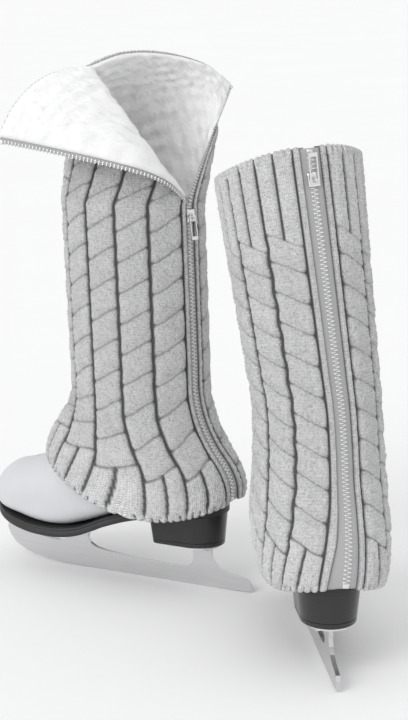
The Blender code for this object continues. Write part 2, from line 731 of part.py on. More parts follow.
def add_tab(skate, tag, frame, axis_height, tab_up):
    """Rectangular ring with its short bar on the hinge axis; it lies up or down the zip."""
    side, bar, length = TAB_WIDTH / 2, TAB_BAR / 2, TAB_LENGTH
    thick = TAB_THICKNESS / 2
    outline = [(-side, -bar), (side, -bar), (side, length), (-side, length)]
    window = [(-side + TAB_RAIL, bar), (side - TAB_RAIL, bar),
              (side - TAB_RAIL, length - TAB_END), (-side + TAB_RAIL, length - TAB_END)]
    grids = []
    for z in (thick, -thick):
        grids.append([[Vector((x, y, z)) for x, y in ring] for ring in (outline, window)])
    tab = add_object(tag + "_pull_tab", *shell(*grids, wrap=True), zip_metal(), skate)
    flip = Matrix.Identity(4) if tab_up else Matrix.Rotation(pi, 4, "Z")
    hinge = Matrix.Translation((0.0, 0.0, axis_height))
    tab.matrix_local = frame @ hinge @ flip @ Matrix.Rotation(TAB_LIFT, 4, "X")


# ---------------------------------------------------------------- the pair


def add_skate(tag, place, turn, rings, rows, top, slider_drop, tab_up, outer_side):
    """One skate under an empty. outer_side is 1 where +Y of the empty is the outer side."""
    skate = bpy.data.objects.new(tag + "_skate", None)
    bpy.context.scene.collection.objects.link(skate)
    skate.location = place
    skate.rotation_euler = (0.0, 0.0, turn)
    skate.scale = (1.0, outer_side, 1.0)
    add_blade(skate, tag)
    add_plates(skate, tag)
    add_screws(skate, tag)
    add_heel(skate, tag)
    add_outsole(skate, tag)
    add_boot(skate, tag)
    add_lace(skate, tag)
    add_cover(skate, tag, rings, rows, top)
    add_slider(skate, tag, rings, slider_drop, tab_up)


def main():
    for obj in list(bpy.data.objects):
        bpy.data.objects.remove(obj, do_unlink=True)
    left_rows = [index / (len(LEFT_RINGS) - 1) for index in range(len(LEFT_RINGS))]
    left_rows += [1 + (index + 1) / OPEN_ROWS for index in range(OPEN_ROWS)]
    right_rows = [index / (len(RIGHT_RINGS) - 1) for index in range(len(RIGHT_RINGS))]
    add_skate("left", LEFT_PLACE, LEFT_TURN, LEFT_RINGS, left_rows, 2.0,
              LEFT_SLIDER_DROP, False, 1.0)
    add_skate("right", RIGHT_PLACE, RIGHT_TURN, RIGHT_RINGS, right_rows, 1.0,
              RIGHT_SLIDER_DROP, True, -1.0)


main()
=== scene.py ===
"""Figure skates in zip-up cable-knit boot covers: visual model, materials, light and camera."""

from math import cos, pi, radians, sin, sqrt

import bmesh
import bpy
import numpy as np
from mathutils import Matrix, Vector


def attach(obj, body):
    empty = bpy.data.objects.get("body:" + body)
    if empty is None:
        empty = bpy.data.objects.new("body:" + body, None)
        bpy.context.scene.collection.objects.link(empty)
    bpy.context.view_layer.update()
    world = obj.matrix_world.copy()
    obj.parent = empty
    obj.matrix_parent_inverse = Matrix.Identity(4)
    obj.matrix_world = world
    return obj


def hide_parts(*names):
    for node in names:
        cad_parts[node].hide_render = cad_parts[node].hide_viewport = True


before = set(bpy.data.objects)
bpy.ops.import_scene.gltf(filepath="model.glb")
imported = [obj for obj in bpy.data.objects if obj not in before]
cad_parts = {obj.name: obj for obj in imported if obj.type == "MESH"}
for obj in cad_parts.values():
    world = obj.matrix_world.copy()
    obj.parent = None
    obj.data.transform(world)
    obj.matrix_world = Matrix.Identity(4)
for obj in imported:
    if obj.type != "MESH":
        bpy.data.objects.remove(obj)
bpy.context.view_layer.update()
rng = np.random.default_rng(7)

# ------------------------------------------------------------------ camera, floor, light

scene = bpy.context.scene
lens = bpy.data.cameras.new("camera")
lens.lens = 99.6
lens.sensor_width = 36.0
lens.clip_end = 200.0
camera = bpy.data.objects.new("camera", lens)
scene.collection.objects.link(camera)
camera.location = (0.9472, -1.7540, 0.676)
view = Vector((-0.4354, 0.8734, -0.2181))
camera.rotation_euler = view.to_track_quat("-Z", "Y").to_euler()
scene.camera = camera
scene.view_settings.view_transform = "Standard"


def soft_light(name, direction, strength, spread):
    """A wide, even lamp: its light travels along direction, softened over spread degrees."""
    data = bpy.data.lights.new(name, "SUN")
    data.energy = strength
    data.angle = radians(spread)
    lamp = bpy.data.objects.new(name, data)
    scene.collection.objects.link(lamp)
    lamp.location = -2 * Vector(direction)
    lamp.rotation_euler = Vector(direction).to_track_quat("-Z", "Y").to_euler()


soft_light("key", (0.28, 0.92, -0.60), 1.15, 40)
soft_light("top", (-0.30, 0.60, -1.0), 0.15, 60)

world = bpy.data.worlds.new("studio")
scene.world = world
world.use_nodes = True
world.node_tree.nodes["Background"].inputs["Color"].default_value = (0.93, 0.935, 0.94, 1.0)
world.node_tree.nodes["Background"].inputs["Strength"].default_value = 0.90


# ------------------------------------------------------------------ materials


class Nodes:
    """A material's node tree, built call by call."""

    def __init__(self, name):
        self.material = bpy.data.materials.new(name)
        self.material.use_nodes = True
        self.tree = self.material.node_tree
        self.shader = self.tree.nodes["Principled BSDF"]

    def node(self, kind, **sockets):
        made = self.tree.nodes.new(kind)
        for name, value in sockets.items():
            self.put(made.inputs[name.replace("_", " ")], value)
        return made

    def put(self, socket, value):
        if hasattr(value, "is_output"):
            self.tree.links.new(value, socket)
        else:
            socket.default_value = value

    def math(self, operation, a, b=0.0):
        made = self.tree.nodes.new("ShaderNodeMath")
        made.operation = operation
        self.put(made.inputs[0], a)
        self.put(made.inputs[1], b)
        return made.outputs[0]

    def noise(self, scale, detail=3.0, vector=None, roughness=0.5):
        made = self.node("ShaderNodeTexNoise", Scale=scale, Detail=detail, Roughness=roughness)
        self.put(made.inputs["Vector"], self.place() if vector is None else vector)
        return made.outputs["Fac"]

    def place(self):
        return self.node("ShaderNodeTexCoord").outputs["Object"]

    def stretched(self, scale):
        made = self.node("ShaderNodeMapping", Vector=self.place())
        made.inputs["Scale"].default_value = scale
        return made.outputs["Vector"]

    def ramp(self, value, *stops):
        made = self.tree.nodes.new("ShaderNodeValToRGB")
        self.put(made.inputs["Fac"], value)
        line = made.color_ramp.elements
        while len(line) < len(stops):
            line.new(0.5)
        for element, (position, colour) in zip(line, stops):
            element.position = position
            element.color = (*colour, 1.0)
        return made.outputs["Color"]

    def mix(self, share, a, b):
        made = self.tree.nodes.new("ShaderNodeMix")
        made.data_type = "RGBA"
        self.put(made.inputs[0], share)
        self.put(made.inputs[6], a if hasattr(a, "is_output") else (*a, 1.0))
        self.put(made.inputs[7], b if hasattr(b, "is_output") else (*b, 1.0))
        return made.outputs[2]

    def bump(self, height, distance, strength=1.0):
        made = self.node("ShaderNodeBump", Height=height, Distance=distance, Strength=strength)
        self.put(self.shader.inputs["Normal"], made.outputs["Normal"])

    def set(self, **sockets):
        for name, value in sockets.items():
            self.put(self.shader.inputs[name.replace("_", " ")], value)


def grey(level, blue=0.0):
    return (level, level, level + blue)


def stitch_height(m):
    """Columns of V-shaped stitches from the stitch map: 0 between the loops, 1 on them."""
    uv = m.tree.nodes.new("ShaderNodeUVMap")
    uv.uv_map = "stitch"
    split = m.node("ShaderNodeSeparateXYZ", Vector=uv.outputs["UV"])
    from_middle = m.math("ABSOLUTE", m.math("SUBTRACT", m.math("FRACT", split.outputs["X"]), 0.5))
    leg = m.math("MULTIPLY", from_middle, 2.0)
    course = m.math("FRACT", m.math("ADD", split.outputs["Y"], m.math("MULTIPLY", leg, 0.75)))
    loop = m.math("SINE", m.math("MULTIPLY", course, pi))
    side = m.math("POWER", m.math("SINE", m.math("MULTIPLY", leg, pi)), 0.6)
    return m.math("MULTIPLY", loop, side)


def knit_material():
    """Mottled grey yarn in stitches, with painted shade between the loops and darker painted shade
    in the furrows between cables.
    """
    m = Nodes("grey_knit_yarn")
    stitch = stitch_height(m)
    fibre = m.noise(900.0, 3.0, roughness=0.7)
    blotch = m.noise(38.0, 4.0, roughness=0.6)
    yarn = m.ramp(blotch, (0.30, grey(0.830, 0.004)), (0.70, grey(0.940, 0.004)))
    mottle = m.ramp(m.noise(310.0, 2.0, roughness=0.6), (0.40, grey(0.0)), (0.62, grey(1.0)))
    yarn = m.mix(m.math("MULTIPLY", mottle, 0.38), yarn, grey(0.52))
    # painted shade: the yarn is darkened between the stitch loops, where shade falls
    painted_loop_shade = m.math("MULTIPLY", m.math("SUBTRACT", 1.0, stitch), 0.38)
    yarn = m.mix(painted_loop_shade, yarn, grey(0.30))
    speck = m.math("MULTIPLY", m.math("GREATER_THAN", m.noise(520.0, 1.0), 0.60), 0.30)
    yarn = m.mix(speck, yarn, grey(0.18))
    # painted shade: the relief attribute darkens the yarn almost to black in the deep furrows
    # between cables
    attribute = m.tree.nodes.new("ShaderNodeAttribute")
    attribute.attribute_name = "relief"
    furrow = m.ramp(attribute.outputs["Fac"], (0.16, grey(1.0)), (0.60, grey(0.12)),
                    (0.95, grey(0.0)))
    m.set(Base_Color=m.mix(m.math("MULTIPLY", furrow, 0.90), yarn, grey(0.030)),
          Roughness=0.92, Sheen_Weight=0.25, Sheen_Roughness=0.6, Specular_IOR_Level=0.15)
    m.bump(m.math("ADD", stitch, m.math("MULTIPLY", fibre, 0.5)), 0.0012, 0.9)
    return m.material


def fleece_material():
    """White pile in small lumps, slightly see-through."""
    m = Nodes("white_fleece_pile")
    tuft = m.noise(260.0, 4.0, roughness=0.65)
    lump = m.noise(60.0, 3.0)
    shade = m.ramp(lump, (0.35, grey(0.0)), (0.75, grey(1.0)))
    m.set(Base_Color=m.mix(shade, grey(0.84), grey(0.89)), Roughness=0.97,
          Sheen_Weight=0.55, Sheen_Roughness=0.5, Specular_IOR_Level=0.1,
          Subsurface_Weight=0.25, Subsurface_Radius=(0.004, 0.004, 0.004),
          Subsurface_Scale=1.0)
    m.bump(m.math("ADD", tuft, m.math("MULTIPLY", lump, 1.2)), 0.0014, 0.6)
    return m.material


def leather_material(name, low, high, roughness, grain, depth):
    """Fine-grained leather with soft scuffing."""
    m = Nodes(name)
    cells = m.node("ShaderNodeTexVoronoi", Scale=grain)
    m.put(cells.inputs["Vector"], m.place())
    blotch = m.noise(22.0, 4.0, roughness=0.6)
    scuffed = m.node("ShaderNodeMapRange", Value=m.noise(75.0), To_Min=roughness - 0.07,
                     To_Max=roughness + 0.09)
    m.set(Base_Color=m.mix(blotch, low, high), Roughness=scuffed.outputs["Result"],
          Specular_IOR_Level=0.4)
    dents = m.math("MULTIPLY", m.noise(9.0, 2.0), 1.5)
    m.bump(m.math("ADD", cells.outputs["Distance"], dents), depth, 0.5)
    return m.material


def metal_material(name, low, high, roughness, brushed=(1.0, 1.0, 1.0)):
    """Polished or brushed metal; brushed stretches the scratches along one axis."""
    m = Nodes(name)
    scratch = m.noise(420.0, 4.0, m.stretched(brushed), 0.6)
    shade = m.math("ADD", m.math("MULTIPLY", scratch, 0.4), 0.5)
    cloudy = m.node("ShaderNodeMapRange", Value=m.noise(9.0, 3.0), To_Min=roughness - 0.06,
                    To_Max=roughness + 0.10)
    m.set(Base_Color=m.mix(shade, low, high), Metallic=1.0, Roughness=cloudy.outputs["Result"])
    m.bump(scratch, 0.00004, 0.5)
    return m.material


def woven(m, scale, distortion, detail):
    """Fine diagonal ridges, as in twill or braid."""
    wave = m.node("ShaderNodeTexWave", Scale=scale, Distortion=distortion, Detail=detail)
    wave.bands_direction = "DIAGONAL"
    m.put(wave.inputs["Vector"], m.place())
    return wave.outputs["Fac"]


def tape_material():
    """Woven tape: fine diagonal twill."""
    m = Nodes("zip_tape_cloth")
    twill = woven(m, 300.0, 1.5, 2.0)
    m.set(Base_Color=m.mix(twill, grey(0.31, 0.004), grey(0.50, 0.004)), Roughness=0.85,
          Sheen_Weight=0.2)
    m.bump(twill, 0.0003, 0.7)
    return m.material


def lace_material():
    """Braided cotton cord."""
    m = Nodes("lace_braid")
    braid = woven(m, 420.0, 4.0, 2.0)
    m.set(Base_Color=m.mix(braid, grey(0.62), grey(0.80)), Roughness=0.85)
    m.bump(braid, 0.0003, 0.8)
    return m.material


def floor_material():
    m = Nodes("studio_floor")
    m.set(Base_Color=m.mix(m.noise(2.0, 2.0), grey(0.895), grey(0.915)), Roughness=0.7)
    return m.material


KNIT_LOOK = knit_material()
FLEECE_LOOK = fleece_material()
WHITE_LEATHER = leather_material("boot_leather", (0.55, 0.555, 0.57), (0.62, 0.625, 0.64), 0.42,
                                 1500.0, 0.0002)
BLACK_LEATHER = leather_material("sole_leather", grey(0.018), grey(0.036), 0.42, 900.0, 0.0002)
BLACK_LACQUER = leather_material("heel_lacquer", grey(0.022), grey(0.032), 0.24, 300.0, 0.00004)
BLADE_STEEL = metal_material("brushed_blade", grey(0.42, 0.008), grey(0.70, 0.008), 0.33,
                             (0.05, 1.0, 1.0))
PLATE_STEEL = metal_material("plated_steel_look", grey(0.62), grey(0.74), 0.28)
ZIP_METAL = metal_material("zip_nickel", grey(0.66), grey(0.82), 0.24)
TAPE_LOOK = tape_material()
LACE_LOOK = lace_material()

CAD_LOOKS = {
    "blade_steel": BLADE_STEEL,
    "plated_steel": PLATE_STEEL,
    "white_leather": WHITE_LEATHER,
    "black_leather": BLACK_LEATHER,
    "black_lacquer": BLACK_LACQUER,
    "grey_knit": KNIT_LOOK,
    "white_fleece": FLEECE_LOOK,
    "zip_cloth": TAPE_LOOK,
    "zip_metal": ZIP_METAL,
    "lace_cord": LACE_LOOK,
}

# ------------------------------------------------------------------ floor

FLOOR = 60.0               # so wide that its edge lies at the horizon
plane = bpy.data.meshes.new("floor")
corners = [(-FLOOR, -FLOOR), (FLOOR, -FLOOR), (FLOOR, FLOOR), (-FLOOR, FLOOR)]
plane.from_pydata([(x, y, -0.0004) for x, y in corners], [], [(0, 1, 2, 3)])
floor = bpy.data.objects.new("floor", plane)
scene.collection.objects.link(floor)
floor.data.materials.append(floor_material())

# ------------------------------------------------------------------ mesh helpers


class Skate:
    """Where one skate stands: turns its own coordinates into the shared frame."""

    def __init__(self, tag, place, turn, outer_side):
        self.tag = tag
        self.body = tag + "_skate"
        self.place = np.array(place)
        self.flip = outer_side < 0
        c, s = cos(turn), sin(turn)
        self.matrix = np.array([[c, -s * outer_side, 0.0], [s, c * outer_side, 0.0],
                                [0.0, 0.0, 1.0]])

    def world(self, points):
        return np.asarray(points, float) @ self.matrix.T + self.place


LEFT = Skate("left", (0.095, 0.0, 0.0), radians(180), 1.0)
RIGHT = Skate("right", (0.293, -0.180, 0.0), radians(122.3), -1.0)


def add_piece(skate, name, points, faces, look):
    """A smooth mesh piece from points in the skate's own coordinates."""
    mesh = bpy.data.meshes.new(name)
    points = skate.world(points)
    if skate.flip:
        faces = [tuple(reversed(face)) for face in faces]
    mesh.from_pydata(points.tolist(), [], [tuple(face) for face in faces])
    mesh.materials.append(look)
    mesh.shade_smooth()
    made = bpy.data.objects.new(name, mesh)
    scene.collection.objects.link(made)
    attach(made, skate.body)
    return made


def grid_faces(rows, columns, wrap=False, turned=False):
    """Quads of a grid, facing the side where (next row) x (next column) points."""
    i, j = np.meshgrid(np.arange(rows - 1), np.arange(columns if wrap else columns - 1),
                       indexing="ij")
    k = (j + 1) % columns
    quads = np.stack([i * columns + j, (i + 1) * columns + j, (i + 1) * columns + k,
                      i * columns + k], axis=-1).reshape(-1, 4)
    return quads[:, ::-1] if turned else quads


def tube_faces(rows, columns):
    """Faces of a closed body through rows of points: its sides and both ends."""
    faces = grid_faces(rows, columns, wrap=True).tolist()
    faces.append(list(range(columns)))
    faces.append(list(range((rows - 1) * columns, rows * columns))[::-1])
    return faces


def face_outward(piece):
    build = bmesh.new()
    build.from_mesh(piece.data)
    bmesh.ops.recalc_face_normals(build, faces=build.faces)
    build.to_mesh(piece.data)
    build.free()


def add_body(skate, name, rings, look):
    """A closed piece through equal rings of points."""
    rows, columns = rings.shape[:2]
    made = add_piece(skate, name, rings.reshape(-1, 3), tube_faces(rows, columns), look)
    face_outward(made)
    return made


def add_grid(skate, name, grid, look, turned=False, uv=None, relief=None):
    """An open sheet through a grid of points, with its stitch map and relief if it has them."""
    rows, columns = grid.shape[:2]
    faces = grid_faces(rows, columns, turned=turned)
    made = add_piece(skate, name, grid.reshape(-1, 3), faces.tolist(), look)
    mesh = made.data
    corner = np.empty(len(mesh.loops), np.int32)
    mesh.loops.foreach_get("vertex_index", corner)
    if uv is not None:
        layer = mesh.uv_layers.new(name="stitch")
        layer.data.foreach_set("uv", uv.reshape(-1, 2)[corner].astype(np.float32).ravel())
    if relief is not None:
        layer = mesh.attributes.new("relief", "FLOAT", "POINT")
        layer.data.foreach_set("value", relief.reshape(-1).astype(np.float32))
    return made


def waves(a, b, scale, seed):
    """Smooth random undulation of about unit size over two coordinates in metres."""
    count = 28
    random = np.random.default_rng(seed)
    total = np.zeros(np.broadcast(a, b).shape)
    for _ in range(count):
        turn, size = random.uniform(0, 2 * pi), random.uniform(0.6, 1.6) / scale
        total += np.sin(2 * pi * size * (a * cos(turn) + b * sin(turn)) + random.uniform(0, 6.3))
    return total / sqrt(count / 2)


def smoothstep(low, high, x):
    """0 below low, 1 above high, and a smooth rise between."""
    share = np.clip((x - low) / (high - low), 0.0, 1.0)
    return share * share * (3 - 2 * share)


# ------------------------------------------------------------------ the covers' surface

FLEECE = 0.0035            # how far the lining reaches in from the cover's middle surface
TAPE_WIDTH = 0.0100
GIRTH = 0.385
# A ring of the cover, from hem to top: height at the back, side and front, x at the back and
# front, half width, y of its middle, squareness, rise of the outer side, turn of the zip (degrees)
LEFT_LOW = [
    (0.097, 0.082, 0.132, -0.0130, 0.1950, 0.0530, 0.0, 2.8, 0.0, 4.0),
    (0.113, 0.101, 0.148, -0.0140, 0.1910, 0.0545, 0.0, 2.6, 0.0, 5.5),
    (0.131, 0.124, 0.163, -0.0080, 0.1830, 0.0545, 0.0, 2.4, 0.0, 8.0),
    (0.153, 0.149, 0.178, 0.0060, 0.1730, 0.0535, 0.0, 2.2, 0.0, 11.0),
    (0.178, 0.176, 0.192, 0.0170, 0.1670, 0.0525, 0.0, 2.0, 0.0, 14.0),
]
LEFT_SHAFT = (
    (0.204, 0.204, 0.206, 0.0238, 0.1650, 0.0520, 0.0, 2.0, 0.0, 14.0),
    (0.396, 0.396, 0.396, 0.0310, 0.1740, 0.0520, 0.0, 2.0, 0.0, 14.0),
)
RIGHT_LOW = [
    (0.090, 0.084, 0.132, -0.0130, 0.1950, 0.0540, 0.0000, 2.8, 0.0000, 4.0),
    (0.106, 0.104, 0.148, -0.0140, 0.1910, 0.0575, 0.0000, 2.6, 0.0000, 5.5),
    (0.126, 0.126, 0.162, -0.0080, 0.1830, 0.0590, 0.0000, 2.4, 0.0000, 8.0),
    (0.150, 0.151, 0.176, 0.0065, 0.1740, 0.0580, 0.0000, 2.2, 0.0000, 11.0),
    (0.177, 0.178, 0.191, 0.0180, 0.1650, 0.0570, -0.0005, 2.0, 0.0000, 13.0),
    (0.206, 0.206, 0.208, 0.0275, 0.1610, 0.0560, -0.0012, 2.0, 0.0010, 14.0),
]
RIGHT_SHAFT = (
    (0.240, 0.239, 0.238, 0.0325, 0.1610, 0.0555, -0.0030, 2.0, 0.0020, 14.0),
    (0.474, 0.451, 0.440, 0.0570, 0.1830, 0.0632, -0.0282, 2.0, 0.0097, 9.0),
)
FOLD_AT = 0.36             # the outer flap's share of the girth
FLAP_EDGE = [(0.0324, 0.0130, 0.396), (0.0400, 0.0480, 0.421), (0.0690, 0.0760, 0.436),
             (0.1260, 0.0930, 0.448), (0.1630, 0.0980, 0.454), (0.2000, 0.1010, 0.459)]
FOLD_CREST = [(0.0324, 0.0130, 0.396), (0.0545, 0.0320, 0.442), (0.0865, 0.0440, 0.490),
              (0.1240, 0.0440, 0.533)]
OPEN_BOW = Vector((0.0, -0.022, 0.0))
FLAP_RIM_BULGE = Vector((0.006, 0.012, 0.020))
OPEN_RIM = [(0.1240, 0.0440, 0.533), (0.1060, 0.0080, 0.543), (0.0840, -0.0350, 0.541),
            (0.0590, -0.0760, 0.528), (0.0435, -0.1080, 0.505)]


def hermite(y0, y1, m0, m1, t):
    """Cubic from y0 to y1 with slopes m0 and m1, t from 0 to 1."""
    return ((1 + 2 * t) * (1 - t) ** 2 * y0 + t * (1 - t) ** 2 * m0
            + t * t * (3 - 2 * t) * y1 + t * t * (t - 1) * m1)


def along(points, t):
    """Smooth curve through evenly spaced tuples, t from 0 to 1."""
    place = min(max(t, 0.0), 1.0) * (len(points) - 1)
    index = min(int(place), len(points) - 2)
    before, start = points[max(index - 1, 0)], points[index]
    end, after = points[index + 1], points[min(index + 2, len(points) - 1)]
    inner_start = 0.5 if index > 0 else 1.0
    inner_end = 0.5 if index < len(points) - 2 else 1.0
    return tuple(
        hermite(b, c, (c - a) * inner_start, (d - b) * inner_end, place - index)
        for a, b, c, d in zip(before, start, end, after)
    )


def cover_rings(low_rings, shaft, steps):
    """The low rings, then even steps up the straight shaft."""
    first, last = shaft
    return low_rings + [
        tuple(a + (b - a) * step / steps for a, b in zip(first, last))
        for step in range(steps + 1)
    ]


LEFT_RINGS = cover_rings(LEFT_LOW, LEFT_SHAFT, 6)
RIGHT_RINGS = cover_rings(RIGHT_LOW, RIGHT_SHAFT, 7)


def ring_point(rings, u, v):
    """Point of the zipped cover: u once round from the zip by the outer side, v hem to top."""
    (back_z, side_z, front_z, back_x, front_x,
     half_width, centre_y, square, outer_rise, zip_turn) = along(rings, v)
    turn = radians(zip_turn) + 2 * pi * u
    power = 2 / square
    forward, outward = -cos(turn), sin(turn)
    x_share = abs(forward) ** power * (1 if forward > 0 else -1)
    y_share = abs(outward) ** power * (1 if outward > 0 else -1)
    x = (back_x + front_x) / 2 + (front_x - back_x) / 2 * x_share
    z = side_z + (front_z - back_z) / 2 * x_share
    z += ((front_z + back_z) / 2 - side_z) * x_share ** 2 + outer_rise * y_share
    return Vector((x, centre_y + half_width * y_share, z))


def open_point_sharp(u, s):
    """Point of the opened top of the left cover, s from the zip split's level to the rim."""
    base = ring_point(LEFT_RINGS, u, 1.0)
    if u > FOLD_AT:
        share = (u - FOLD_AT) / (1 - FOLD_AT)
        rim = Vector(along(OPEN_RIM, share))
        bow = OPEN_BOW * (4 * share * (1 - share))
        climb = Vector((0.0, 0.0, (rim - base).length * (0.38 - 0.28 * share))) + bow
        lean = (rim - base) * 0.22 - bow
        return (base * (1 - s) ** 3 + (base + climb) * 3 * s * (1 - s) ** 2
                + (rim - lean) * 3 * s * s * (1 - s) + rim * s ** 3)
    fold = u / FOLD_AT
    if s <= fold:
        crest = Vector(along(FOLD_CREST, fold))
        share = s / fold if fold else 0.0
        return base.lerp(crest, share)
    crest = Vector(along(FOLD_CREST, s))
    edge = Vector(along(FLAP_EDGE, s))
    share = 1 - fold / s
    return crest.lerp(edge, share) + FLAP_RIM_BULGE * (4 * share * (1 - share) * s)


def open_point(u, s):
    """The opened top with its fold line softened."""
    reach = 0.07 * min(1.0, s / 0.25)
    total = Vector()
    for step in (-2, -1, 0, 1, 2):
        total += open_point_sharp(u, min(max(s + reach * step / 2, 0.0), 1.0))
    return total / 5


def cover_point(rings, u, v):
    return ring_point(rings, u, v) if v <= 1.0 else open_point(u, v - 1.0)


def spline_weights(count, places):
    """Matrix that reads a smooth curve through count evenly spaced values at places in 0..1."""
    weights = np.zeros((len(places), count))
    for row, place in enumerate(np.clip(places, 0.0, 1.0) * (count - 1)):
        index = min(int(place), count - 2)
        t = place - index
        blend = (-0.5 * t ** 3 + t * t - 0.5 * t, 1.5 * t ** 3 - 2.5 * t * t + 1,
                 -1.5 * t ** 3 + 2 * t * t + 0.5 * t, 0.5 * t ** 3 - 0.5 * t * t)
        for step, weight in zip((-1, 0, 1, 2), blend):
            weights[row, min(max(index + step, 0), count - 1)] += weight
    return weights


class Cover:
    """The middle surface of one cover, read by distance round it and distance up it."""

    NET_COLUMNS = 97

    def __init__(self, skate, rings, top, net_rows):
        self.skate = skate
        around = np.linspace(0, 1, 401)
        ring = np.array([ring_point(rings, u, 0.75) for u in around])
        walked = np.concatenate([[0], np.cumsum(np.linalg.norm(np.diff(ring, axis=0), axis=1))])
        self.u_of = lambda t: np.interp(t, walked / walked[-1], around)
        levels = np.linspace(0, top, net_rows)
        self.net = np.array([
            [cover_point(rings, u, v) for u in self.u_of(np.linspace(0, 1, self.NET_COLUMNS))]
            for v in levels
        ])
        side = self.net[:, self.NET_COLUMNS // 4]
        rise = np.linalg.norm(np.diff(side, axis=0), axis=1)
        self.heights = np.concatenate([[0], np.cumsum(rise)])
        self.length = float(self.heights[-1])

    def grid(self, shares, heights):
        """Points, outward and upward directions at girth shares and heights up the cover."""
        rows = np.interp(heights, self.heights, np.linspace(0, 1, len(self.heights)))
        down = spline_weights(len(self.heights), rows)
        over = spline_weights(self.NET_COLUMNS, shares)
        points = np.einsum("ri,ijk,cj->rck", down, self.net, over)
        up = np.gradient(points, axis=0)
        sideways = np.gradient(points, axis=1)
        normals = np.cross(up, sideways)
        normals /= np.linalg.norm(normals, axis=2, keepdims=True) + 1e-12
        up /= np.linalg.norm(up, axis=2, keepdims=True) + 1e-12
        return points, normals, up


# ------------------------------------------------------------------ knitted relief

CABLES = 11
COLUMNS_PER_CABLE = 26
WALE = 0.0032              # width of one column of stitches
COURSE = 0.0027            # height of one row of stitches
CROSSING_CLIMB = 0.28      # how far a crossing climbs over half a cable, in pitches
KNIT_FLOOR = 0.0007        # the bottom of a furrow, out from the cover's middle surface
KNIT_TOP = 0.0049          # the top of a cable
KNIT_TUCK = 0.0002         # where the knit's edges turn in
FLEECE_EDGE = 0.0046       # the lining's edge, behind the tape
LEFT_KNIT = {"pitch": 0.0310, "low_rib": 0.050, "rib_from_top": 0.070, "zone": 0.0098,
             "edge": 0.0050, "wander": 0.0007}
RIGHT_KNIT = {"pitch": 0.0262, "low_rib": 0.043, "rib_from_top": 0.072, "zone": 0.0145,
              "edge": 0.0082, "wander": 0.0011}


class Knit:
    """How one cover is knitted: where its cables, ribs and zip edges lie, in metres."""

    def __init__(self, length, pitch, low_rib, rib_from_top, zone, edge, wander):
        self.length = length
        self.pitch = pitch                        # height of one cable crossing
        self.low_rib = low_rib                    # where the hem's ribs end
        self.high_rib = length - rib_from_top     # where the rim's ribs start
        self.zone = zone                          # from the zip's middle to the first furrow
        self.edge = edge                          # the knit's turned edge over the tape
        self.wander = wander                      # how far the furrows sway
        self.cable = (GIRTH - 2 * zone) / CABLES


def knit_columns(knit):
    """Distances round the cover, closer together at the furrows."""
    q = np.linspace(-1, 1, COLUMNS_PER_CABLE + 1)[:-1]
    local = 0.55 * q + 0.45 * np.sin(q * pi / 2)
    cables = [knit.zone + knit.cable * (index + (local + 1) / 2) for index in range(CABLES)]
    border = np.linspace(knit.edge, knit.zone, 10)[:-1]
    return np.concatenate([border] + cables + [[GIRTH - knit.zone], GIRTH - border[::-1]])


def dome(gap, floor, run):
    """Round rise from a flat floor beside a furrow: 0 in the furrow, 1 once run away from it."""
    share = np.clip((gap - floor) / run, 0, 1)
    return np.sqrt(1 - (1 - share) ** 2)


def folded(place, parts):
    """-1..1 across each of the parts that a cable is split into."""
    return 2 * ((place * parts) % 1.0) - 1


def furrow_path(knit, d, s):
    """Distance round the cover, with the ribs fanned out at the hem and the furrows swaying."""
    near_zip = np.minimum(d, GIRTH - d)
    side = np.where(d < GIRTH / 2, 1.0, -1.0)
    fan = smoothstep(knit.zone - 0.004, 0.050, near_zip) * (1 - smoothstep(0.13, 0.185, near_zip))
    free = smoothstep(knit.zone + 0.004, knit.zone + 0.034, near_zip)
    cabled = smoothstep(knit.low_rib - 0.010, knit.low_rib + 0.010, s)
    cabled = cabled * (1 - smoothstep(knit.high_rib - 0.010, knit.high_rib + 0.010, s))
    fanned = d - side * 0.17 * np.clip(knit.low_rib - s, 0, None) * fan
    sway = np.sin(2 * pi * (s - knit.low_rib) / knit.pitch)
    return fanned + knit.wander * sway * free * cabled


def cable_relief(knit, x, strand):
    """Height of a cable: x from -1 to 1 across it, strand from 0 to 1 along one crossing."""
    bulge = np.sqrt(np.clip(1 - (np.abs(2 * strand - 1) / 0.95) ** 2.3, 0, 1))
    gap = (1 - np.abs(x)) * knit.cable / 2 - 0.0011 * (1 - bulge)
    crown = dome(gap, 0.0008, 0.0068)
    flat_share = 0.96 - 0.54 * np.abs(x) ** 0.9
    dent = 0.15 * np.exp(-((x / 0.40) ** 2)) * np.cos(pi * strand) ** 2
    return crown * (flat_share + (1 - flat_share) * bulge - dent)


def rib_relief(knit, place, near_edge):
    """Height of the ribs, two to a cable, which turn into narrow welts at hem and rim."""
    rib = 0.94 * dome((1 - np.abs(folded(place, 2))) * knit.cable / 4, 0.0007, 0.0048)
    welt = 0.86 * dome((1 - np.abs(folded(place, 6))) * knit.cable / 12, 0.0002, 0.0019)
    cast_on = 1 - smoothstep(0.0035, 0.0085, near_edge)
    return rib * (1 - cast_on) + np.minimum(welt, rib + 0.35) * cast_on


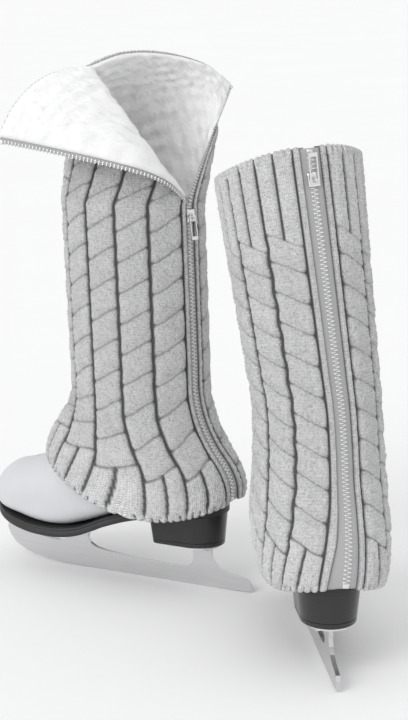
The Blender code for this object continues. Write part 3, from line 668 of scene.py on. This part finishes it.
def knit_profile(d, s, knit):
    """Relief, roundness of hem and rim, and stitch map, d round the cover and s up it."""
    near_zip = np.minimum(d, GIRTH - d)
    near_edge = np.minimum(s, knit.length - s)
    at_zip = near_zip < knit.zone
    moved = furrow_path(knit, d, s)
    place = np.clip((moved - knit.zone) / knit.cable, 0, CABLES - 1e-9)
    x = folded(place, 1)
    slant = CROSSING_CLIMB * np.tanh(1.2 * x) / np.tanh(1.2)
    phase = (s - knit.low_rib) / knit.pitch + slant
    strand = phase - np.floor(phase)
    level = s + knit.pitch * slant
    ribbed = 1 - smoothstep(knit.low_rib - 0.002, knit.low_rib + 0.002, level)
    ribbed = np.maximum(ribbed, smoothstep(knit.high_rib - 0.002, knit.high_rib + 0.002, level))
    notch = np.exp(-((level - knit.low_rib) / 0.0013) ** 2)
    notch = notch + np.exp(-((level - knit.high_rib) / 0.0013) ** 2)
    cables = cable_relief(knit, x, strand) * (1 - ribbed)
    relief = (cables + rib_relief(knit, place, near_edge) * ribbed) * (1 - 0.45 * notch)
    edge_x = 2 * (near_zip - knit.edge) / (knit.zone - knit.edge) - 1
    border = 0.66 * (1 - np.abs(np.clip(edge_x, -1, 1)) ** 3) ** 0.6
    relief = np.clip(np.where(at_zip, border, relief), 0, 1.1)
    rounding = np.sqrt(1 - (1 - np.clip(near_edge / 0.0035, 0, 1)) ** 2)
    shear = np.where(at_zip, 0.0, 0.012 * (strand - 0.5) * (1 - ribbed))
    stitch = np.stack([(moved + shear) / WALE, s / COURSE], axis=-1)
    return relief, rounding, stitch


def framed(values):
    """A grid with its first and last row and column repeated."""
    return np.pad(values, [(1, 1), (1, 1)] + [(0, 0)] * (values.ndim - 2), mode="edge")


def rimmed(face, rim):
    """The face's grid of points with a border of the rim's points all round."""
    grid = framed(rim)
    grid[1:-1, 1:-1] = face
    return grid


def add_knit(cover, knit, name, spacing, seed):
    around = knit_columns(knit)
    up_to = np.linspace(0, cover.length, int(cover.length / spacing))
    points, normals, up = cover.grid(around / GIRTH, up_to)
    d, s = np.meshgrid(around, up_to)
    relief, rounding, stitch = knit_profile(d, s, knit)
    height = relief * rounding
    offset = KNIT_FLOOR + (KNIT_TOP - KNIT_FLOOR) * height
    offset += 0.0004 * waves(d, s, 0.006, seed + 1) * np.clip(height, 0, 1)
    scallop = 0.0034 * relief * (np.exp(-s / 0.006) - np.exp(-(cover.length - s) / 0.006))
    outer = points + normals * offset[..., None] - up * scallop[..., None]
    grid = rimmed(outer, points + normals * KNIT_TUCK)
    return add_grid(cover.skate, name, grid, KNIT_LOOK, uv=framed(stitch), relief=framed(relief))


def add_fleece(cover, name, spacing, seed):
    """The lining: a soft sheet whose turned edge shows as a thin white line at hem and rim."""
    around = np.linspace(FLEECE_EDGE, GIRTH - FLEECE_EDGE, int(GIRTH / spacing))
    up_to = np.linspace(0, cover.length, int(cover.length / spacing))
    points, normals, up = cover.grid(around / GIRTH, up_to)
    d, s = np.meshgrid(around, up_to)
    from_edge = np.minimum(np.minimum(s, cover.length - s),
                           np.minimum(d - around[0], around[-1] - d))
    rounding = np.sqrt(np.clip(1 - (1 - np.clip(from_edge / 0.004, 0, 1)) ** 2, 0, 1))
    pile = (0.00035 * waves(d, s, 0.0045, seed) + 0.0006 * waves(d, s, 0.022, seed + 1)
            + rng.normal(0, 0.00012, d.shape))
    under_tape = 1 - smoothstep(TAPE_WIDTH - 0.0006, TAPE_WIDTH + 0.0012,
                                np.minimum(d, GIRTH - d))
    backing_depth = 0.0002 + 0.0008 * under_tape
    depth = 0.0012 + (FLEECE - 0.0012 + pile) * rounding
    outward = 0.0012 * (np.exp(-s / 0.004) - np.exp(-(cover.length - s) / 0.004))
    edge = up * outward[..., None]
    inner = points - normals * depth[..., None] - edge
    backing = points - normals * backing_depth[..., None] - edge
    return add_grid(cover.skate, name, rimmed(inner, backing), FLEECE_LOOK, turned=True)


# ------------------------------------------------------------------ zip

TEETH_PITCH = 0.0038
TOOTH = [
    # across, half-length along, half-height
    (-0.0032, 0.00055, 0.00095), (-0.0029, 0.00090, 0.00140), (-0.0014, 0.00094, 0.00150),
    (-0.0008, 0.00072, 0.00105), (0.0002, 0.00064, 0.00085), (0.0006, 0.00084, 0.00100),
    (0.0010, 0.00060, 0.00075),
]
STOP = [
    (-0.0026, 0.001716, 0.00117), (-0.0022, 0.0022, 0.0015), (0.0010, 0.0022, 0.0015),
    (0.0014, 0.001716, 0.00117),
]
TAPE = [
    # distance from the zip's middle, half-thickness: a corded edge, the weave, a seam line
    (0.0004, 0.0003), (0.0008, 0.0008), (0.0014, 0.0009), (0.0019, 0.0006), (0.0024, 0.0004),
    (0.0050, 0.0005), (0.0078, 0.0005), (0.0084, 0.0003), (0.0090, 0.0005), (0.0097, 0.0004),
]


def edge_frames(cover, outer_side, heights):
    """Edge points of one zip side with its across (towards the other side), up and out."""
    share = np.array([0.0004, 0.0024]) / GIRTH
    if not outer_side:
        share = 1 - share[::-1]
    points, normals, _ = cover.grid(share, heights)
    edge, inside = (points[:, 0], points[:, 1]) if outer_side else (points[:, 1], points[:, 0])
    up = np.gradient(edge, axis=0)
    up /= np.linalg.norm(up, axis=1, keepdims=True)
    across = edge - inside
    across -= up * (across * up).sum(1, keepdims=True)
    across /= np.linalg.norm(across, axis=1, keepdims=True)
    out = np.cross(across, up)
    out *= np.sign((out * normals[:, 0]).sum(1, keepdims=True))
    return edge, across, up, out


def add_blocks(cover, name, frames, distances, places, profile, corner):
    """Small metal blocks at places along a zip's edge, each strung through the profile."""
    octagon = ((-1, -corner), (-corner, -1), (corner, -1), (1, -corner),
               (1, corner), (corner, 1), (-corner, 1), (-1, corner))
    block = tube_faces(len(profile), len(octagon))
    points, faces = [], []
    for place in places:
        at, across, up, out = (
            np.array([np.interp(place, distances, part[:, axis]) for axis in range(3)])
            for part in frames)
        start = len(points)
        faces += [[start + index for index in face] for face in block]
        points += [at + across * reach + up * half * p + out * tall * q
                   for reach, half, tall in profile for p, q in octagon]
    made = add_piece(cover.skate, name, np.array(points), faces, ZIP_METAL)
    face_outward(made)
    return made


def add_teeth(cover, name, outer_side, heights):
    """One side's row of teeth, set half a pitch off the other side's."""
    frames = edge_frames(cover, outer_side, heights)
    steps = np.linalg.norm(np.diff(frames[0], axis=0), axis=1)
    walked = np.concatenate([[0], np.cumsum(steps)])
    first = 0.004 + (0.0 if outer_side else TEETH_PITCH / 2)
    stations = np.arange(first, walked[-1] - 0.005, TEETH_PITCH)
    return add_blocks(cover, name, frames, walked, stations, TOOTH, 0.6)


def add_stops(cover, name, outer_side):
    """Small crimped blocks that end the row of teeth."""
    heights = np.linspace(0, cover.length, 240)
    frames = edge_frames(cover, outer_side, heights)
    places = (0.0030, cover.length - 0.0032)
    return add_blocks(cover, name, frames, heights, places, STOP, 0.7)


def add_tape(cover, name, outer_side, heights):
    """A woven tape with a corded edge under the teeth and a seam line near the knit."""
    across, half = np.array(TAPE).T
    shares = across / GIRTH
    if not outer_side:
        shares, half = 1 - shares[::-1], half[::-1]
    points, normals, _ = cover.grid(shares, heights)
    front = points + normals * half[None, :, None]
    back = points - normals * half[None, :, None]
    return add_body(cover.skate, name, np.concatenate([front, back[:, ::-1]], axis=1), TAPE_LOOK)


def add_cover(skate, rings, top, net_rows, knitted, spacing, seed):
    """Knit, lining and zip of one cover; top is 2 where it opens above its rings, or 1."""
    tag = skate.tag
    cover = Cover(skate, rings, top, net_rows)
    knit = add_knit(cover, Knit(cover.length, **knitted), tag + "_knit_cables", spacing, seed)
    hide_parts(tag + "_cover_knit")
    fleece = add_fleece(cover, tag + "_fleece", 0.0022, seed + 20)
    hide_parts(tag + "_cover_lining")
    heights = np.linspace(0, cover.length, int(cover.length / 0.003))
    trims = []
    for outer_side, word in ((True, "outer"), (False, "inner")):
        tape = add_tape(cover, f"{tag}_tape_{word}", outer_side, heights)
        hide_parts(f"{tag}_zip_tape_{word}")
        teeth = add_teeth(cover, f"{tag}_teeth_{word}", outer_side, heights)
        stops = add_stops(cover, f"{tag}_stops_{word}", outer_side)
        trims += [tape, teeth, stops]


add_cover(LEFT, LEFT_RINGS, 2.0, 91, LEFT_KNIT, 0.00150, 11)
add_cover(RIGHT, RIGHT_RINGS, 1.0, 79, RIGHT_KNIT, 0.00135, 31)

# ------------------------------------------------------------------ boot

# A station of the boot, from toe to collar: x and z of the sole side, x and z of the upper side,
# and half width
BOOT_STATIONS = [
    (0.2610, 0.0700, 0.2620, 0.0800, 0.0070), (0.2590, 0.0655, 0.2605, 0.0880, 0.0180),
    (0.2520, 0.0615, 0.2550, 0.0985, 0.0265), (0.2380, 0.0572, 0.2430, 0.1070, 0.0330),
    (0.2180, 0.0530, 0.2260, 0.1125, 0.0375), (0.1950, 0.0512, 0.2070, 0.1190, 0.0390),
    (0.1680, 0.0522, 0.1880, 0.1280, 0.0385), (0.1400, 0.0602, 0.1700, 0.1430, 0.0365),
    (0.1080, 0.0730, 0.1560, 0.1620, 0.0345), (0.0700, 0.0820, 0.1480, 0.1800, 0.0330),
    (0.0300, 0.0880, 0.1430, 0.1950, 0.0320), (0.0020, 0.1020, 0.1400, 0.2060, 0.0320),
    (0.0030, 0.1300, 0.1385, 0.2160, 0.0325), (0.0180, 0.1620, 0.1380, 0.2270, 0.0330),
    (0.0330, 0.1950, 0.1390, 0.2380, 0.0345), (0.0400, 0.2270, 0.1410, 0.2500, 0.0355),
]
GAP = 0.0003
LEATHER = 0.0030
THROAT_STATION = 3.85      # where the slot for the tongue starts, counted in stations


def boot_ring(station, inset, turns):
    """Section of the boot at a station; turns are shares of a turn from the sole's middle."""
    bx, bz, tx, tz, half_width = station
    low, high = np.array((bx, 0.0, bz + GAP)), np.array((tx, 0.0, tz))
    rise = high - low
    span = np.linalg.norm(rise)
    up = rise / span
    centre = low + rise * 0.42
    low_power = 0.45 + 0.5 * min(max((up[0] - 0.55) / 0.25, 0.0), 1.0)
    turn = 2 * pi * turns - pi / 2
    lift, across = np.sin(turn), np.cos(turn)
    power = np.where(lift < 0, low_power, 0.95)
    reach = np.where(lift < 0, span * 0.42 - inset, span * 0.58 - inset)
    rise_by = reach * np.abs(lift) ** power * np.sign(lift)
    side = max(half_width - inset, 0.0008) * np.abs(across) ** power * np.sign(across)
    ring = centre + rise_by[:, None] * up
    ring[:, 1] += side
    return ring


def boot_grid(first, last, rows, turns, inset):
    """Rows of boot points between two stations, inset from the boot's outside."""
    picked = [along(BOOT_STATIONS, place / (len(BOOT_STATIONS) - 1))
              for place in np.linspace(first, last, rows)]
    return np.array([boot_ring(station, inset, turns) for station in picked])


def boot_relief(row, column):
    """Creases, softness and two seams; row counts stations, column is a share of a turn."""
    angle = np.abs(column - 0.5) * 2
    instep = np.exp(-((row - 6.2) / 1.6) ** 2) * np.exp(-(angle / 0.45) ** 2)
    crease = 0.0006 * instep * waves(row * 0.01, column * 0.02, 0.006, 5)
    soft = 0.0004 * waves(row * 0.012, column * 0.10, 0.035, 9)
    quarter = 0.0005 * np.exp(-((row - 3.6 - 1.8 * angle) / 0.05) ** 2) * (angle < 0.9)
    counter = 0.0005 * np.exp(-((row - 9.2 + 1.4 * angle) / 0.06) ** 2) * (angle > 0.35)
    return crease + soft - quarter - counter


def outward_directions(grid):
    """Directions away from the middle of each row of a wrapped grid."""
    sideways = np.roll(grid, -1, axis=1) - np.roll(grid, 1, axis=1)
    out = np.cross(np.gradient(grid, axis=0), sideways)
    out /= np.linalg.norm(out, axis=2, keepdims=True) + 1e-12
    return out * np.sign((out * (grid - grid.mean(axis=1, keepdims=True))).sum(2, keepdims=True))


def shell_faces(rows, columns, gone):
    """Faces of a wrapped double wall, open where gone is true for all of a quad's points."""
    quads = grid_faces(rows, columns, wrap=True)
    kept = quads[~gone.reshape(-1)[quads].all(axis=1)]
    size = rows * columns
    faces = kept.tolist() + (kept[:, ::-1] + size).tolist()
    edges = {(a, b) for quad in kept.tolist() for a, b in zip(quad, quad[1:] + quad[:1])}
    for a, b in sorted(edges):
        if (b, a) not in edges and a >= columns:
            faces.append([b, a, a + size, b + size])
    faces.append(list(range(columns)))
    faces.append(list(range(size, size + columns))[::-1])
    return faces


def add_boot(skate):
    tag = skate.tag
    columns, rows = 96, 104
    last = len(BOOT_STATIONS) - 1
    turns = np.arange(columns) / columns
    outer, inner = (boot_grid(0, last, rows, turns, inset) for inset in (0.0, LEATHER))
    row, column = np.meshgrid(np.linspace(0, last, rows), turns, indexing="ij")
    outer = outer + outward_directions(outer) * boot_relief(row, column)[..., None]
    slot_half = 0.0045 + 0.0005 * np.clip(row - 5, 0, 10)
    slot_half = slot_half * smoothstep(THROAT_STATION, 4.6, row)
    in_front = (column > 0.3) & (column < 0.7) & (row > THROAT_STATION)
    slot = in_front & (np.abs(outer[..., 1]) < slot_half)
    points = np.concatenate([outer.reshape(-1, 3), inner.reshape(-1, 3)])
    upper = add_piece(skate, tag + "_upper_leather", points, shell_faces(rows, columns, slot),
                      WHITE_LEATHER)
    face_outward(upper)
    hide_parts(tag + "_boot_upper")


def add_pad(skate, name, stations, arc, size, inset, look, node, lift=(0.0, 0.0, 0.0)):
    """A padded patch inside the boot: stations and arc it spans, rows and columns, insets."""
    (rows, columns), turns = size, np.linspace(arc[0], arc[1], size[1])
    outer, inner = (boot_grid(*stations, rows, turns, depth) for depth in inset)
    a, b = np.meshgrid(np.linspace(0, 1, columns), np.linspace(0, 1, rows))
    edge = np.minimum(np.minimum(a, 1 - a) * 8, np.minimum(b, 1 - b) * 8)
    roundness = np.sqrt(np.clip(1 - (1 - np.clip(edge, 0, 1)) ** 2, 0, 1))[..., None]
    quilt = 0.4 * waves(a * 0.1, b * 0.1, 0.02, 3)[..., None]
    raised = np.array(lift) * np.clip((b - 0.82) / 0.18, 0, 1)[..., None] ** 1.5
    middle = (outer + inner) / 2
    outer, inner = (middle + (outer - middle) * roundness + raised,
                    middle + (inner - middle) * roundness * (1 + quilt) + raised)
    piece = add_body(skate, skate.tag + name, np.concatenate([outer, inner[:, ::-1]], axis=1), look)
    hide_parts(skate.tag + node)


for one in (LEFT, RIGHT):
    add_boot(one)
    add_pad(one, "_ankle_padding", (12, 15), (-0.35, 0.35), (40, 80),
            (LEATHER + GAP, LEATHER + 0.0035), FLEECE_LOOK, "_boot_lining")
    add_pad(one, "_padded_tongue", (5, 15), (0.40, 0.60), (90, 40),
            (LEATHER + GAP, LEATHER + 0.0025), BLACK_LEATHER, "_tongue",
            lift=(0.004, 0.0, 0.014))

# ------------------------------------------------------------------ sole, heel, insole, lace

SOLE_BACK, SOLE_FRONT, SOLE_THICKNESS = -0.004, 0.264, 0.0095
SOLE_TOP = [(-0.004, 0.091), (0.030, 0.087), (0.060, 0.083), (0.093, 0.0765), (0.122, 0.067),
            (0.150, 0.055), (0.172, 0.0505), (0.195, 0.050), (0.215, 0.0515), (0.240, 0.0565),
            (0.264, 0.065)]
SOLE_HALF_WIDTH = [(-0.004, 0.031), (0.030, 0.031), (0.070, 0.030), (0.100, 0.0315),
                   (0.130, 0.036), (0.160, 0.0395), (0.190, 0.0405), (0.220, 0.0390),
                   (0.264, 0.036)]
HEEL_BOTTOM = 0.0460
HEEL_BREAST_X = 0.069
HEEL_PROFILE = [
    # share of the height, how far in from the heel's outline: edge, plate groove, flare
    (0.0, 0.0016), (0.006, 0.0006), (0.02, 0.0001), (0.05, 0.0), (0.145, -0.0002),
    (0.155, 0.0003), (0.165, -0.0003), (0.5, -0.0012), (0.8, -0.0020), (1.0, -0.0025),
]


def smooth_value(table, x):
    """Smooth reading of a short (x, value) table."""
    if x <= table[0][0]:
        return table[0][1]
    for index in range(len(table) - 1):
        (x0, y0), (x1, y1) = table[index], table[index + 1]
        if x <= x1:
            before = table[max(index - 1, 0)]
            after = table[min(index + 2, len(table) - 1)]
            slope0 = (y1 - before[1]) / (x1 - before[0])
            slope1 = (after[1] - y0) / (after[0] - x0)
            return hermite(y0, y1, slope0 * (x1 - x0), slope1 * (x1 - x0), (x - x0) / (x1 - x0))
    return table[-1][1]


def sole_top(x):
    return smooth_value(SOLE_TOP, x)


def sole_underside(x):
    return sole_top(x) - SOLE_THICKNESS


def sole_half_width(x):
    middle = (SOLE_BACK + SOLE_FRONT) / 2
    share = (x - middle) / (SOLE_FRONT - middle)
    roundness = 6 if share > 0 else 8
    return smooth_value(SOLE_HALF_WIDTH, x) * sqrt(max(0.0, 1 - abs(share) ** roundness))


def closed_loft(skate, name, rings, look, node):
    """A closed piece through equal rings of points, standing for a CAD node."""
    piece = add_body(skate, skate.tag + name, np.array(rings), look)
    piece.data.set_sharp_from_angle(angle=radians(50))
    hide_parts(skate.tag + node)
    return piece


def band_section(half_width, low, high, corner, groove):
    """Cross-section of a sole: rounded corners, and a groove round its upper edge."""
    corner = min(corner, half_width * 0.5)
    edge = []
    for step in range(5):
        turn = pi / 2 * step / 4
        edge.append((half_width - corner * (1 - sin(turn)), low + corner * (1 - cos(turn))))
    line = high - (high - low) * 0.30
    edge += [(half_width, line - groove), (half_width - groove, line), (half_width, line + groove)]
    for step in range(5):
        turn = pi / 2 * step / 4
        edge.append((half_width - corner * (1 - cos(turn)), high - corner * (1 - sin(turn))))
    return edge + [(-y, z) for y, z in reversed(edge)]


def strip(x_start, x_end, count, half_width, low, high, corner, groove, rounded=0.0):
    """Sections from heel to toe, closer together at the ends, which may be rounded."""
    rings = []
    for index in range(count):
        x = x_start + (x_end - x_start) * (1 - cos(pi * index / (count - 1))) / 2
        width = half_width(x)
        if rounded:
            end = min(x - x_start, x_end - x) / rounded
            width *= sqrt(max(0.01, 1 - (1 - min(end, 1.0)) ** 2))
        rings.append([(x, y, z) for y, z in band_section(width, low(x), high(x), corner, groove)])
    return rings


def heel_ring(share, inset):
    """D-shaped ring at a share of the heel's height: straight breast and round back."""
    breast, back, half = HEEL_BREAST_X - inset, 0.0005 + inset, 0.0262 - inset
    points = []
    for step in range(7):
        turn = pi / 2 * step / 6
        points.append((breast - 0.006 * (1 - cos(turn)), -half * (0.86 + 0.14 * sin(turn))))
    for step in range(49):
        turn = pi * step / 48
        points.append((back + 0.030 * (1 - sin(turn)), -half * cos(turn)))
    points += [(x, -y) for x, y in reversed(points[:7])]
    return [(x, y, HEEL_BOTTOM + share * (sole_underside(x) - GAP - HEEL_BOTTOM))
            for x, y in points]


def add_sole_and_heel(skate):
    sole = strip(SOLE_BACK + GAP, SOLE_FRONT - GAP, 150, sole_half_width, sole_underside,
                 sole_top, 0.0012, 0.0004)
    closed_loft(skate, "_sole_leather", sole, BLACK_LEATHER, "_outsole")
    heel = [heel_ring(share, inset) for share, inset in HEEL_PROFILE]
    closed_loft(skate, "_heel_stack", heel, BLACK_LACQUER, "_heel_block")
    insole = strip(0.050, 0.246, 60, lambda x: 0.60 * sole_half_width(x),
                   lambda x: sole_top(x) + LEATHER + 0.0048,
                   lambda x: sole_top(x) + LEATHER + 0.0078, 0.0012, 0.0002, rounded=0.020)
    insole = closed_loft(skate, "_soft_insole", insole, FLEECE_LOOK, "_insole")


def add_lace(skate):
    """One zigzag of braided cord across the throat, rung by rung up to the collar."""
    radius, reach = 0.0011, 0.0125
    route = []
    for rung in range(9):
        tx, tz = along([station[2:4] for station in BOOT_STATIONS[7:]], (rung + 0.3) / 9)
        side = 1 if rung % 2 else -1
        for step in range(7):
            y = side * reach * (1 - step / 3)
            drop = 0.0042 * (y / reach) ** 2
            route.append((tx + 0.0012, y, tz + radius + 0.0012 - drop))
    curve = bpy.data.curves.new(skate.tag + "_lace_cord", "CURVE")
    curve.dimensions = "3D"
    curve.bevel_depth = radius
    curve.bevel_resolution = 3
    curve.use_fill_caps = True
    spline = curve.splines.new("POLY")
    steps = 4 * len(route)
    spline.points.add(steps)
    for index in range(steps + 1):
        place = skate.world([along(route, index / steps)])[0]
        spline.points[index].co = (*place, 1.0)
    curve.materials.append(LACE_LOOK)
    lace = bpy.data.objects.new(skate.tag + "_lace_cord", curve)
    scene.collection.objects.link(lace)
    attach(lace, skate.body)
    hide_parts(skate.tag + "_lace")


for one in (LEFT, RIGHT):
    add_sole_and_heel(one)
    add_lace(one)

# ------------------------------------------------------------------ carried-over CAD nodes

BEVELS = {"blade": 0.0004, "toe_plate": 0.0004, "heel_plate": 0.0004, "zip_slider": 0.00018,
          "pull_tab": 0.00025}
for name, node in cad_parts.items():
    if node.hide_render:
        continue
    for slot in node.material_slots:
        finish = CAD_LOOKS[slot.material.name]
        slot.link = "OBJECT"
        slot.material = finish
    width = next((width for key, width in BEVELS.items() if name.endswith(key)), None)
    if width:
        bevel = node.modifiers.new("edge", "BEVEL")
        bevel.width = width
        bevel.segments = 2
        bevel.limit_method = "ANGLE"
        bevel.angle_limit = radians(35)
